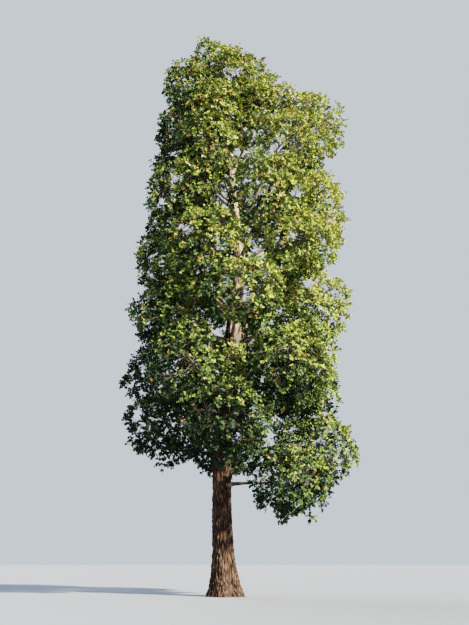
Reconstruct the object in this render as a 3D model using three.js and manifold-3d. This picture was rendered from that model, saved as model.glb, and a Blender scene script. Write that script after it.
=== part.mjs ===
// A tall broadleaf park tree, 33 m high: one straight trunk with a root flare, rising boughs, and a full,
// slightly lopsided crown of separate masses of foliage. Each blade of foliage stands for a spray of leaves.
// Millimetres, +Z up. The origin is the middle of the flat cut under the trunk, at ground level.
// +X is the crown's wider side and +Y its back.
import * as THREE from "three";
import { mergeVertices } from "three/addons/utils/BufferGeometryUtils.js";
import Module from "manifold-3d";

const wasm = await Module();
wasm.setup();

const METRE = 1000;
const GAP = 0.3; // between solids that meet
const CLEARANCE = 15; // between foliage and any limb that isn't its own

// Trunk: how its middle wanders, as [height, towards +X, towards +Y], and its radii.
const TRUNK_LINE = [
  [0, 0, 0],
  [4, -0.18, 0.08],
  [8, -0.12, 0.14],
  [13, 0.32, 0.02],
  [17.5, 0.74, -0.1],
  [21, 0.44, 0.06],
  [24, 0.28, 0.14],
  [30.4, 0.08, 0],
].map((row) => row.map((metres) => metres * METRE));
const TRUNK_TOP = 30.2 * METRE;
const TRUNK_RADIUS = 0.47 * METRE;
const TAPER_HEIGHT = 32.4 * METRE; // where the trunk's taper would run out
const TAPER_POWERS = [2.2, 1.4];
const FLARE_RADIUS = 0.42 * METRE; // what the root flare adds at the ground
const FLARE_FADE = 1.05 * METRE;
const ROOT_LOBES = [
  { count: 3, depth: 0.09, turn: 0.6 },
  { count: 5, depth: 0.1, turn: 2.1 },
];
const LOBE_FADE = 1.7 * METRE;
const TRUNK_SIDES = 16;
const TRUNK_RINGS = 20;
const TRUNK_RING_POWER = 1.5; // rings crowd towards the ground

// Tiers of foliage from the top down, in metres and degrees. height is that of the middles of its masses,
// left and right are how far the tier reaches from the origin, and size is a mass's half width. turn is
// the way the first mass faces, from +X towards +Y, and step the angle to the next. rise is how far a limb
// climbs for each metre out, or zero for a mass on the trunk's own top, and bough says whether the limb is
// a bough of its own or part of the mass.
const TIERS = [
  { height: 30.55, left: 2.95, right: 2.15, size: 2.55, count: 1, turn: 0, step: 0, rise: 0, bough: false },
  { height: 29.1, left: 4.35, right: 3.5, size: 2.4, count: 3, turn: 180, step: 120, rise: 1.2, bough: false },
  { height: 25.6, left: 0, right: 7.35, size: 2.95, count: 1, turn: -5, step: 0, rise: 1.05, bough: false },
  { height: 26.4, left: 4.7, right: 5.5, size: 2.6, count: 4, turn: -38, step: -71, rise: 1.1, bough: false },
  { height: 23.6, left: 4.85, right: 7.4, size: 2.8, count: 5, turn: 176, step: 72, rise: 1.0, bough: true },
  { height: 20.7, left: 5.35, right: 7.35, size: 2.85, count: 5, turn: 8, step: 72, rise: 0.85, bough: false },
  { height: 17.6, left: 5.6, right: 7.2, size: 2.85, count: 5, turn: 184, step: 72, rise: 1.3, bough: true },
  { height: 14.3, left: 5.7, right: 7.0, size: 2.85, count: 5, turn: -4, step: 72, rise: 0.55, bough: false },
  { height: 11.1, left: 5.8, right: 7.2, size: 2.85, count: 5, turn: 172, step: 72, rise: 0.1, bough: true },
  { height: 8.2, left: 5.5, right: 6.3, size: 2.6, count: 3, turn: 92, step: 88, rise: -0.15, bough: true },
  { height: 6.9, left: 5.2, right: 7.45, size: 2.7, count: 1, turn: 10, step: 0, rise: 0.3, bough: true },
  { height: 5.1, left: 5.2, right: 5.9, size: 2.45, count: 1, turn: -22, step: 0, rise: 0.1, bough: true },
];
const DEPTH_SHARE = 0.86; // the crown's depth for its width
const FLATNESS = 0.82; // a mass's height for its width
const SKIN_SLACK = 0.04; // how far a spray may reach past the mass's nominal size
const HEIGHT_SPREAD = 0.45; // metres, either way, for the masses of a tier
const TURN_SPREAD = 7; // degrees, either way

// Limbs: each runs in one curve from the trunk's middle to just past the middle of its mass.
const LIMB_SLIMNESS = 0.016; // radius at the trunk for each millimetre of length
const LIMB_LEAST = 38;
const LIMB_TIP_RADIUS = 50;
const LIMB_TAPER_POWER = 0.8;
const LEAVE_LEVEL = 6; // degrees above level at the trunk
const LEAVE_STEEPNESS = 32; // degrees more for each metre of rise
const ARRIVE_ANGLES = { rising: 24, hanging: -4 }; // degrees above level in the mass
const BEND_REACHES = [0.36, 0.3]; // shares of its length over which a limb keeps those two directions
const LIMB_WANDER = 0.07; // of its length, to either side
const LIMB_OVERSHOOT = 0.12; // past the mass's middle, as a share of its size
const ENTRY = 0.6; // how far out from the mass's middle, as a share of its size, a bough ends
const ENTRY_STEP = 0.005; // of the limb's curve
const BOUGH_SIDES = 6;
const BOUGH_RINGS = 5;
const STEM_SIDES = 4;
const STEM_RINGS = 2;
const WHOLE_STEM_RINGS = 4;

// Twigs and sprays of leaves inside a mass.
const TWIGS = 9;
const TWIG_REACH = 0.57; // share of the way to the edge of the mass's space
const TWIG_REACH_SPREAD = 0.05;
const TWIG_FEET = [0.5, 0.96]; // between these shares of the limb's curve
const TWIG_SIDES = 3;
const TWIG_RADII = [36, 34]; // at the stem and at the tip
const INWARD_LIMIT = -0.35; // twigs that point further back at the trunk than this are left out
const SPRAY_LENGTH = 1.95 * METRE;
const SPRAY_LENGTH_SPREAD = 0.14;
const SPRAY_SHRINKS = [1, 0.86, 0.74, 0.62]; // tried in turn until the spray fits
const SPRAY_WIDTH = 0.94; // for each length
const SPRAY_WIDEST = 0.5;
const SPRAY_FOLD = 0.07; // how far the edges lift off the midrib, for each length
const SPRAY_LEANS = [46, 68]; // degrees from the twig's own line, of the first and of the rest
const SPRAY_ROOTS = [60, 70]; // how far back from the twig's tip, for the first and more for each next
const SPRAY_SUNK = 5; // how far a spray starts past its twig's middle
const SEEDS_FOR_EACH_MASS = 100;
const GOLDEN_TURN = Math.PI * (3 - Math.sqrt(5));

const UP = new THREE.Vector3(0, 0, 1);

const BARK_LOOK = { color: 0x6b5143, roughness: 0.95 };
const LIMB_LOOK = { color: 0x8f8064, roughness: 0.9 };
const FOLIAGE_COLOURS = [0x7d8f35, 0x6d8231, 0x8d9a3e, 0x5f7a30];
const FOLIAGE_ROUGHNESS = 0.7;

// Seeded numbers from 0 to 1.
function seeded(seed) {
  let state = Math.imul(seed, 0x9e3779b1) >>> 0;
  return () => {
    state = (state + 0x6d2b79f5) >>> 0;
    let mixed = Math.imul(state ^ (state >>> 15), state | 1);
    mixed ^= mixed + Math.imul(mixed ^ (mixed >>> 7), mixed | 61);
    return ((mixed ^ (mixed >>> 14)) >>> 0) / 4294967296;
  };
}

const either = (random, spread) => (2 * random() - 1) * spread;

// The trunk's middle at a height, on a smooth line through TRUNK_LINE.
function trunkMiddle(height) {
  const last = TRUNK_LINE.length - 1;
  let i = 0;
  while (i < last - 1 && height > TRUNK_LINE[i + 1][0]) i += 1;
  const before = TRUNK_LINE[Math.max(i - 1, 0)];
  const [a, b] = [TRUNK_LINE[i], TRUNK_LINE[i + 1]];
  const after = TRUNK_LINE[Math.min(i + 2, last)];
  const span = b[0] - a[0];
  const t = (height - a[0]) / span;
  const along = (axis) => {
    const slopeA = ((b[axis] - before[axis]) / (b[0] - before[0])) * span;
    const slopeB = ((after[axis] - a[axis]) / (after[0] - a[0])) * span;
    return (
      (2 * t ** 3 - 3 * t ** 2 + 1) * a[axis] +
      (t ** 3 - 2 * t ** 2 + t) * slopeA +
      (3 * t ** 2 - 2 * t ** 3) * b[axis] +
      (t ** 3 - t ** 2) * slopeB
    );
  };
  return new THREE.Vector3(along(1), along(2), height);
}

// The trunk's radius at a height, in the direction angle, with the lobes of the root flare.
function trunkRadius(height, angle) {
  const [inner, outer] = TAPER_POWERS;
  const taper = TRUNK_RADIUS * (1 - (height / TAPER_HEIGHT) ** inner) ** outer;
  const flared = taper + FLARE_RADIUS * Math.exp(-height / FLARE_FADE);
  const fade = Math.exp(-height / LOBE_FADE);
  const swell = ({ count, depth, turn }) => depth * Math.cos(count * angle + turn);
  return flared * (1 + fade * ROOT_LOBES.reduce((sum, lobe) => sum + swell(lobe), 0));
}

// A closed geometry with each vertex moved by place(vertex), as shared vertices only.
function shaped(geometry, place) {
  const bare = geometry.clone();
  bare.deleteAttribute("normal");
  bare.deleteAttribute("uv");
  const merged = mergeVertices(bare, 1e-4);
  const position = merged.attributes.position;
  const vertex = new THREE.Vector3();
  for (let i = 0; i < position.count; i += 1) {
    place(vertex.fromBufferAttribute(position, i));
    position.setXYZ(i, vertex.x, vertex.y, vertex.z);
  }
  return merged;
}

function solidOf(geometry) {
  return new wasm.Manifold(
    new wasm.Mesh({
      numProp: 3,
      vertProperties: new Float32Array(geometry.attributes.position.array),
      triVerts: new Uint32Array(geometry.index.array),
    }),
  );
}

function geometryOf(solid) {
  const mesh = solid.getMesh();
  const places = new Float32Array(mesh.numVert * 3);
  for (let i = 0; i < mesh.numVert; i += 1) {
    places.set(mesh.vertProperties.subarray(i * mesh.numProp, i * mesh.numProp + 3), i * 3);
  }
  return new THREE.BufferGeometry()
    .setAttribute("position", new THREE.BufferAttribute(places, 3))
    .setIndex(new THREE.BufferAttribute(new Uint32Array(mesh.triVerts), 1));
}

// The trunk, or with grow the same shape that much fatter, which cuts a limb's foot clear of it.
function trunkSolid(grow = 0) {
  const rod = new THREE.CylinderGeometry(1, 1, 1, TRUNK_SIDES, TRUNK_RINGS);
  const geometry = shaped(rod, (vertex) => {
    const height = TRUNK_TOP * (vertex.y + 0.5) ** TRUNK_RING_POWER;
    const angle = Math.atan2(-vertex.z, vertex.x);
    const radius = Math.hypot(vertex.x, vertex.z) * (trunkRadius(height, angle) + grow);
    const middle = trunkMiddle(height);
    vertex.set(middle.x + radius * Math.cos(angle), middle.y + radius * Math.sin(angle), height);
  });
  return solidOf(geometry);
}

// A tapering rod along a curve from share start to share end, with flat ends square to the curve. It starts
// that shift further on, and roll turns its sides.
function limbSolid(curve, [start, end], radii, sides, rings, { shift = 0, roll = 0 } = {}) {
  const frames = [];
  const side = new THREE.Vector3();
  for (let i = 0; i <= rings; i += 1) {
    const share = start + ((end - start) * i) / rings;
    const tangent = curve.getTangent(share);
    side.crossVectors(tangent, i ? frames[i - 1].across : UP).normalize();
    const across = new THREE.Vector3().crossVectors(side, tangent).normalize();
    const middle = curve.getPoint(share).addScaledVector(tangent, i ? 0 : shift);
    const radius = THREE.MathUtils.lerp(...radii, i / rings);
    frames.push({ middle, across, side: side.clone(), radius });
  }
  const rod = new THREE.CylinderGeometry(1, 1, 1, sides, rings);
  const geometry = shaped(rod, (vertex) => {
    const frame = frames[Math.round((vertex.y + 0.5) * rings)];
    const angle = Math.atan2(vertex.z, vertex.x) + roll;
    const out = Math.hypot(vertex.x, vertex.z) * frame.radius;
    vertex
      .copy(frame.middle)
      .addScaledVector(frame.side, out * Math.cos(angle))
      .addScaledVector(frame.across, out * Math.sin(angle));
  });
  return solidOf(geometry);
}

// The masses of foliage: where each one is, how large, and the curve of the limb that carries it.
function planMasses() {
  const masses = [];
  for (const tier of TIERS) {
    for (let i = 0; i < tier.count; i += 1) {
      const number = masses.length + 1;
      const random = seeded(number);
      const turn = THREE.MathUtils.degToRad(tier.turn + tier.step * i + either(random, TURN_SPREAD));
      const along = Math.cos(turn);
      const reach = tier.left + ((tier.right - tier.left) * (1 + along)) / 2 - tier.size;
      const height = tier.height + either(random, HEIGHT_SPREAD);
      const middle = tier.rise
        ? new THREE.Vector3(reach * along, reach * DEPTH_SHARE * Math.sin(turn), height)
        : new THREE.Vector3((tier.right - tier.left) / 2, 0, tier.height);
      middle.multiplyScalar(METRE);
      const size = tier.size * METRE;
      masses.push({ number, random, tier, middle, half: new THREE.Vector3(size, size, size * FLATNESS) });
    }
  }
  masses.forEach(planLimb);
  return masses;
}

// The limb leaves the trunk below its mass, or above it where it hangs. The top mass's limb goes on from
// the trunk's own top.
function planLimb(mass) {
  const { middle, tier, random, half } = mass;
  const foot = tier.rise ? middle.z - tier.rise * Math.hypot(middle.x, middle.y) : TRUNK_TOP + GAP;
  const start = trunkMiddle(foot);
  const outward = new THREE.Vector3(middle.x - start.x, middle.y - start.y, 0).normalize();
  const end = middle.clone().addScaledVector(outward, LIMB_OVERSHOOT * half.x);
  const length = start.distanceTo(end);
  const aside = new THREE.Vector3().crossVectors(UP, outward);
  const bend = (from, degrees, reach) => {
    const angle = THREE.MathUtils.degToRad(degrees);
    return from
      .clone()
      .addScaledVector(outward, Math.cos(angle) * reach * length)
      .addScaledVector(UP, Math.sin(angle) * reach * length)
      .addScaledVector(aside, either(random, LIMB_WANDER) * length);
  };
  const nearer = bend(start, LEAVE_LEVEL + LEAVE_STEEPNESS * tier.rise, BEND_REACHES[0]);
  const further = bend(end, tier.rise < 0 ? ARRIVE_ANGLES.hanging : ARRIVE_ANGLES.rising, -BEND_REACHES[1]);
  mass.turned = random() * Math.PI * 2;
  mass.outward = tier.rise ? outward : UP;
  mass.limb = tier.rise
    ? new THREE.CubicBezierCurve3(start, nearer, further, end)
    : new THREE.LineCurve3(start, middle);
  mass.footRadius = tier.rise ? LIMB_LEAST + LIMB_SLIMNESS * length : trunkRadius(TRUNK_TOP, 0);
  mass.entry = tier.bough ? entryShare(mass) : 0;
}

// The share of the limb's curve at which it comes into its mass.
function entryShare({ limb, middle, half }) {
  let share = ENTRY_STEP;
  while (limb.getPoint(share).sub(middle).divide(half).length() > ENTRY) share += ENTRY_STEP;
  return share;
}

function radiusAt({ footRadius }, share) {
  return footRadius + (LIMB_TIP_RADIUS - footRadius) * share ** LIMB_TAPER_POWER;
}

// A mass keeps to its own side of a plane between it and each neighbour.
function planSpaces(masses) {
  for (const mass of masses) {
    mass.walls = masses
      .filter((other) => other !== mass && other.middle.distanceTo(mass.middle) < other.half.x + mass.half.x)
      .map((other) => {
        const normal = other.middle.clone().sub(mass.middle);
        const distance = (normal.length() * mass.half.x) / (mass.half.x + other.half.x);
        normal.normalize();
        return { normal, limit: mass.middle.dot(normal) + distance - CLEARANCE };
      });
  }
}

function inSpace(mass, geometry) {
  const position = geometry.attributes.position;
  const vertex = new THREE.Vector3();
  const local = new THREE.Vector3();
  for (let i = 0; i < position.count; i += 1) {
    vertex.fromBufferAttribute(position, i);
    if (local.copy(vertex).sub(mass.middle).divide(mass.half).length() > 1 + SKIN_SLACK) return false;
    if (mass.walls.some(({ normal, limit }) => vertex.dot(normal) > limit)) return false;
  }
  return true;
}

const withBox = (solid) => ({ solid, box: solid.boundingBox() });

const boxesMeet = (a, b) =>
  [0, 1, 2].every((axis) => a.min[axis] - CLEARANCE < b.max[axis] && b.min[axis] - CLEARANCE < a.max[axis]);

function clearOf(solid, others) {
  const box = solid.boundingBox();
  const isClear = (other) => !boxesMeet(box, other.box) || solid.minGap(other.solid, CLEARANCE) >= CLEARANCE;
  return others.every(isClear);
}

// One spray of leaves: a blade folded along its midrib, from root along heading, lying across facing.
function sprayGeometry(root, heading, facing, length) {
  const across = new THREE.Vector3().crossVectors(heading, facing).normalize();
  const out = new THREE.Vector3().crossVectors(across, heading).normalize();
  return shaped(new THREE.TetrahedronGeometry(Math.sqrt(3), 0), (corner) => {
    const onMidrib = corner.x * corner.y > 0;
    const along = onMidrib ? (1 + Math.sign(corner.x)) / 2 : SPRAY_WIDEST;
    const aside = onMidrib ? 0 : (-Math.sign(corner.x) * SPRAY_WIDTH) / 2;
    const lift = onMidrib ? 0 : SPRAY_FOLD;
    corner
      .copy(root)
      .addScaledVector(heading, along * length)
      .addScaledVector(across, aside * length)
      .addScaledVector(out, lift * length);
  });
}

// How far it is from a mass's middle to the edge of its space, the way a twig points.
function spaceAlong(mass, way) {
  const skin = 1 / way.clone().divide(mass.half).length();
  return mass.walls.reduce((least, { normal, limit }) => {
    const towards = way.dot(normal);
    return towards > 0 ? Math.min(least, (limit - mass.middle.dot(normal)) / towards) : least;
  }, skin);
}

// Twigs spread evenly from the stem, each with sprays round its tip.
function growMass(mass, stem, limbs) {
  const { number, middle, limb, outward, turned } = mass;
  const twigs = [];
  const sprays = [];
  for (let i = 0; i < TWIGS; i += 1) {
    const random = seeded(number * SEEDS_FOR_EACH_MASS + i);
    const height = 1 - (2 * (i + 0.5)) / TWIGS;
    const flat = Math.sqrt(1 - height * height);
    const turn = turned + i * GOLDEN_TURN;
    const way = new THREE.Vector3(flat * Math.cos(turn), flat * Math.sin(turn), height);
    const forward = way.dot(outward);
    if (forward < INWARD_LIMIT) continue;
    const reach = (TWIG_REACH + either(random, TWIG_REACH_SPREAD)) * spaceAlong(mass, way);
    const tip = middle.clone().addScaledVector(way, reach);
    const least = Math.max(mass.entry, TWIG_FEET[0]);
    const foot = limb.getPoint(least + (TWIG_FEET[1] - least) * (0.5 + 0.5 * forward));
    const roll = random() * Math.PI * 2;
    const twig = limbSolid(new THREE.LineCurve3(foot, tip), [0, 1], TWIG_RADII, TWIG_SIDES, 1, { roll });
    if (!inSpace(mass, geometryOf(twig)) || !clearOf(twig, limbs)) continue;
    twigs.push(twig);
    growSprays(mass, foot, tip, roll, random, limbs, sprays);
  }
  return wasm.Manifold.union([stem, ...twigs, ...sprays.map(({ solid }) => solid)]);
}

// One spray leaves from each side of the twig, where it crosses none of the mass's other sprays.
function growSprays(mass, foot, tip, roll, random, limbs, sprays) {
  const axis = tip.clone().sub(foot).normalize();
  const sideways = new THREE.Vector3().crossVectors(axis, UP).normalize();
  const upward = new THREE.Vector3().crossVectors(sideways, axis);
  for (let i = 0; i < TWIG_SIDES; i += 1) {
    const lean = THREE.MathUtils.degToRad(SPRAY_LEANS[Math.min(i, 1)]);
    const turn = roll + Math.PI / 6 + (i * 2 * Math.PI) / TWIG_SIDES;
    const length = SPRAY_LENGTH * (1 + either(random, SPRAY_LENGTH_SPREAD));
    const round = sideways.clone().multiplyScalar(Math.cos(turn)).addScaledVector(upward, Math.sin(turn));
    const heading = axis.clone().multiplyScalar(Math.cos(lean)).addScaledVector(round, Math.sin(lean));
    const facing = i ? axis : round;
    const back = tip.clone().addScaledVector(axis, -SPRAY_ROOTS[0] - SPRAY_ROOTS[1] * i);
    const root = back.addScaledVector(heading, -SPRAY_SUNK);
    for (const shrink of SPRAY_SHRINKS) {
      const geometry = sprayGeometry(root, heading, facing, length * shrink);
      const solid = solidOf(geometry);
      if (inSpace(mass, geometry) && clearOf(solid, limbs) && clearOf(solid, sprays)) {
        sprays.push(withBox(solid));
        break;
      }
    }
  }
}

// The largest of a solid's bodies, so that no loose scrap stays.
function whole(solid) {
  return solid.decompose().reduce((best, body) => (body.volume() > best.volume() ? body : best));
}

// A named mesh whose own origin is at place.
function meshOf(name, solid, place, look) {
  const geometry = geometryOf(solid).translate(-place.x, -place.y, -place.z);
  geometry.computeVertexNormals();
  const material = new THREE.MeshStandardMaterial({ metalness: 0, flatShading: true, ...look });
  const mesh = new THREE.Mesh(geometry, material);
  mesh.name = name;
  mesh.position.copy(place);
  return mesh;
}

const numbered = (word, number) => `${word}_${String(number).padStart(2, "0")}`;

const tree = new THREE.Group();
tree.name = "broadleaf_tree";
const trunk = trunkSolid();
const trunkCutter = trunkSolid(GAP);
tree.add(meshOf("trunk", trunk, new THREE.Vector3(), BARK_LOOK));

const masses = planMasses();
planSpaces(masses);
const boughs = new THREE.Group();
const limbs = [withBox(trunk)];
for (const mass of masses) {
  const { limb, entry, footRadius, number } = mass;
  const entryRadius = radiusAt(mass, entry);
  if (entry) {
    const rod = limbSolid(limb, [0, entry], [footRadius, entryRadius], BOUGH_SIDES, BOUGH_RINGS);
    const bough = whole(rod.subtract(trunkCutter));
    limbs.push(withBox(bough));
    boughs.add(meshOf(numbered("bough", number), bough, limb.getPoint(0), LIMB_LOOK));
  }
  const rings = entry ? STEM_RINGS : WHOLE_STEM_RINGS;
  const shift = entry ? GAP : 0;
  const stem = limbSolid(limb, [entry, 1], [entryRadius, LIMB_TIP_RADIUS], STEM_SIDES, rings, { shift });
  mass.stem = entry ? stem : whole(stem.subtract(trunkCutter));
  limbs.push({ ...withBox(mass.stem), number });
}
tree.add(boughs);

const foliage = new THREE.Group();
for (const mass of masses) {
  const { number, middle, stem } = mass;
  const others = limbs.filter((limb) => limb.number !== number);
  const solid = whole(growMass(mass, stem, others)).simplify(GAP / 3);
  const look = { color: FOLIAGE_COLOURS[number % FOLIAGE_COLOURS.length], roughness: FOLIAGE_ROUGHNESS };
  foliage.add(meshOf(numbered("foliage", number), solid, middle, look));
}
tree.add(foliage);

export default tree;
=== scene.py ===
# A tall broadleaf park tree: a bark-covered trunk with a root flare, rising and drooping boughs, and a crown
# of billowing masses made of branches, twigs and separate leaves. Metres, +Z up, origin at the trunk's foot.
import math

import bpy
import numpy as np
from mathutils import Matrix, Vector


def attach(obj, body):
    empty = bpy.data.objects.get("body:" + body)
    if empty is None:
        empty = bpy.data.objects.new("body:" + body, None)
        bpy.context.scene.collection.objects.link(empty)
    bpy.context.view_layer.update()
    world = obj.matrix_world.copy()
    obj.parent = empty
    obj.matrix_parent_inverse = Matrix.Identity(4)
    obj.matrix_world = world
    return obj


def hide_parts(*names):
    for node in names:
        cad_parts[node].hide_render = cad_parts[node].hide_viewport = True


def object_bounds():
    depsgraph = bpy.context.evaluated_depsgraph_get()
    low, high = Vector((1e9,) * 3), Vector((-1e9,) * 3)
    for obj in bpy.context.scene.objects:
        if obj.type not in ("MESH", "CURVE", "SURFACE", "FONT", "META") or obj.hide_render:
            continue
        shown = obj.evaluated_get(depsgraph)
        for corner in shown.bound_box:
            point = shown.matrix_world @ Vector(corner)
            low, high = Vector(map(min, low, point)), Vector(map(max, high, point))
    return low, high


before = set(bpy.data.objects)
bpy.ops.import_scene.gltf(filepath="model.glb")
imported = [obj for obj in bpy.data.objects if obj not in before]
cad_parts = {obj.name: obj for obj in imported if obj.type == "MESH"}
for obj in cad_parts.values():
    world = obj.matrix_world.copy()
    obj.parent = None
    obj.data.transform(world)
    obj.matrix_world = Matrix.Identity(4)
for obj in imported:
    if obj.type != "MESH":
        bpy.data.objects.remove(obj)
cad_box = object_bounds()
bpy.ops.object.select_all(action="DESELECT")

# The growing rule, as the solids have it. TRUNK_LINE is [height, towards +X, towards +Y].
TRUNK_LINE = np.array(
    [
        [0, 0, 0],
        [4, -0.18, 0.08],
        [8, -0.12, 0.14],
        [13, 0.32, 0.02],
        [17.5, 0.74, -0.1],
        [21, 0.44, 0.06],
        [24, 0.28, 0.14],
        [30.4, 0.08, 0],
    ]
)
TRUNK_TOP = 30.2
TRUNK_RADIUS = 0.47
TAPER_HEIGHT = 32.4
TAPER_POWERS = (2.2, 1.4)
FLARE_RADIUS = 0.42
FLARE_FADE = 1.05
ROOT_LOBES = ((3, 0.09, 0.6), (5, 0.1, 2.1))  # count, depth, turn
LOBE_FADE = 1.7

# Tiers of foliage from the top down: height of the masses' middles, reach to the left and right, half width
# of a mass, how many, the way the first one faces, the angle to the next, how far a limb climbs for each
# metre out, and whether the limb is a bough of its own.
TIERS = (
    (30.55, 2.95, 2.15, 2.55, 1, 0, 0, 0, False),
    (29.1, 4.35, 3.5, 2.4, 3, 180, 120, 1.2, False),
    (25.6, 0, 7.35, 2.95, 1, -5, 0, 1.05, False),
    (26.4, 4.7, 5.5, 2.6, 4, -38, -71, 1.1, False),
    (23.6, 4.85, 7.4, 2.8, 5, 176, 72, 1.0, True),
    (20.7, 5.35, 7.35, 2.85, 5, 8, 72, 0.85, False),
    (17.6, 5.6, 7.2, 2.85, 5, 184, 72, 1.3, True),
    (14.3, 5.7, 7.0, 2.85, 5, -4, 72, 0.55, False),
    (11.1, 5.8, 7.2, 2.85, 5, 172, 72, 0.1, True),
    (8.2, 5.5, 6.3, 2.6, 3, 92, 88, -0.15, True),
    (6.9, 5.2, 7.45, 2.7, 1, 10, 0, 0.3, True),
    (5.1, 5.2, 5.9, 2.45, 1, -22, 0, 0.1, True),
)
DEPTH_SHARE = 0.86
FLATNESS = 0.82
HEIGHT_SPREAD = 0.45
TURN_SPREAD = 7
GAP = 0.0003
CLEARANCE = 0.015

LIMB_SLIMNESS = 0.016
LIMB_LEAST = 0.038
LEAVE_LEVEL = 6
LEAVE_STEEPNESS = 32
ARRIVE_RISING = 24
ARRIVE_HANGING = -4
BEND_REACHES = (0.36, 0.3)
LIMB_WANDER = 0.07
LIMB_OVERSHOOT = 0.12
ENTRY = 0.6
ENTRY_STEP = 0.005

TWIGS = 9
TWIG_REACH = 0.57
TWIG_REACH_SPREAD = 0.05
TWIG_FEET = (0.5, 0.96)
INWARD_LIMIT = -0.35
SEEDS_FOR_EACH_MASS = 100
GOLDEN_TURN = math.pi * (3 - math.sqrt(5))
UP = np.array([0.0, 0.0, 1.0])
WORD = 0xFFFFFFFF
SEED_SPREAD = 0x9E3779B1
SEED_STEP = 0x6D2B79F5

# Trunk mesh. Its rod starts below the ground and is cut off level at it. The bark's relief is full up to
# the first of ROUGH_HEIGHTS, and fades to the last of ROUGH_SHARES at the second.
TRUNK_SIDES = 96
TRUNK_RINGS = 320
TRUNK_START = -0.12
RING_CROWDING = 1.25
TRUNK_RELIEF_SIZE = (0.1, 0.1, 0.6)
TRUNK_RELIEF_DEPTH = 0.06
ROUGH_HEIGHTS = (8, 17)
ROUGH_SHARES = (1, 0.3)

# Limb meshes. A side limb has a collar where it leaves the trunk.
LIMB_SIDES = 12
LIMB_RINGS = 38
LIMB_POINTS = 25
LIMB_TIP = 0.02
LIMB_TAPER = 0.8
COLLAR = 0.6
COLLAR_FADE = 0.3
LIMB_RELIEF_SIZE = (0.5, 0.09, 0.09)
LIMB_RELIEF_DEPTH = 0.022
LIMB_ROUGH_SHARES = (1, 0.25)
PATTERN_STEP = 10

# Bark relief, pressed inwards from the highest ridges
RELIEF_MIDDLE = 0.9
RELIEF_LEVELS = 40
RELIEF_OCTAVES = 3
SEAM_WIDTH = 1e-5

# Branches and shoots. Radii are given as (at the foot, at the tip).
BRANCH_RADII = (0.036, 0.013)
BRANCH_RINGS = 6
BRANCH_SIDES = 5
BRANCH_ALONG_LIMB = 0.6
LIMB_STEPS = 7
YOUNG_WOOD = 2
SHOOT_RADII = (0.012, 0.005)
SHOOT_RINGS = 3
SHOOT_SIDES = 3
SHOOT_TURN = 0.5
ROD_BEND = 0.45
ROD_TIP = 2
UPRIGHT = 0.9
BEHIND_COST = 0.9
SMALLEST = 1e-6

# Tufts of leaves: how many in a mass of usual size, and how far out they are, as shares of its reach
OUTER_TUFTS = 162
INNER_TUFTS = 24
OUTER_SHARES = (0.84, 1.04)
INNER_SHARES = (0.45, 0.72)
USUAL_SIZE = 2.75
TUFT_REACH = 0.5
TUFT_JITTER = 0.06
TUFT_LIFT = 0.4
TUFT_TILT = 0.15
TUFT_INWARD_LIMIT = -0.62
LOW_INWARD_LIMIT = -0.92
LOW_RISE = 0.5
DROOP = 0.9
TRUNK_ROOM = 0.4
BOX_SLACK = 0.12

# Shape of a mass: fuller than an egg, with swells, and thinner where it meets its neighbours in a cleft
FULLNESS = 2.15
SWELLS = 4
SWELL_DEPTH = 0.075
SWELL_TURNS = (3, 7)
SWELL_LIMIT = 1.04
SWELL_SEED = 500
CLEFT_POWER = 5
DEEP_WALL = 0.8
DEEP_SHARE = 0.4

# Sprays: short leafy twigs round the middle one of their tuft. They lean out by so many degrees, give or
# take LEAN_SPREAD, which is in radians.
TUFT_SPRAYS = 6
SPRAY_LEAN = 58
MIDDLE_LEAN = 8
LEAN_SPREAD = 0.2
SPRAY_LENGTH = 0.36
SPRAY_SIZES = (0.75, 1.2)
SPRAY_SET_BACK = 0.16
TWIG_RADIUS = 0.0045
TWIG_SIDES = 3
TWIG_FACES = np.array([[0, 1, 3], [1, 2, 3], [2, 0, 3], [2, 1, 0]])

# Leaves stand off both sides of their twig, and the last one is at its tip
SPRAY_LEAVES = 7
LEAF_LENGTH = 0.15
LEAF_SIZES = (0.72, 1.18)
FIRST_LEAF = 0.36
LEAF_UP = 0.3
LEAF_OUT = 0.85
LEAF_WANDER = 0.62
LEAF_FORWARD = 0.55
LEAF_ASIDE = 0.85
LEAF_DROOP = (0.05, 0.5)
LEAF_STRAY = 0.12

# A leaf of three lobes: across, along and lift of its corners, for a length of one
LEAF_CORNERS = np.array(
    [
        [0, 0, 0],
        [-0.54, 0.48, 0.02],
        [-0.25, 0.66, 0.07],
        [0, 1, -0.1],
        [0.25, 0.66, 0.07],
        [0.54, 0.48, 0.02],
    ]
)
LEAF_FACES = np.array([[0, 2, 1], [0, 3, 2], [0, 4, 3], [0, 5, 4]])

# Openings where the sky shows through the crown from the front: towards +X, height, half width
OPENINGS = (
    (-2.3, 19.6, 0.55),
    (-0.3, 21.6, 0.45),
    (-0.5, 13.2, 0.5),
    (1.75, 18.1, 0.5),
    (4.4, 16.1, 0.45),
    (0.5, 30.6, 0.45),
    (2.95, 24.9, 0.6),
    (0.6, 24.6, 0.45),
    (-3.1, 24.6, 0.4),
    (-3.0, 22.8, 0.4),
    (-3.7, 21.2, 0.35),
    (4.0, 22.0, 0.4),
    (3.85, 19.2, 0.4),
)
# Places where the wood shows because the foliage in front of it is open, given in the same way. The foliage
# on their sunny side is open too, so that the sun reaches the wood.
WINDOWS = (
    (0.2, 30.2, 0.6),
    (0.3, 23.3, 0.5),
    (-0.25, 21.3, 0.5),
    (0.5, 20.6, 0.45),
    (0.85, 18.0, 0.5),
    (0.4, 13.4, 0.6),
)
SUN_ROOM = 0.1

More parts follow.
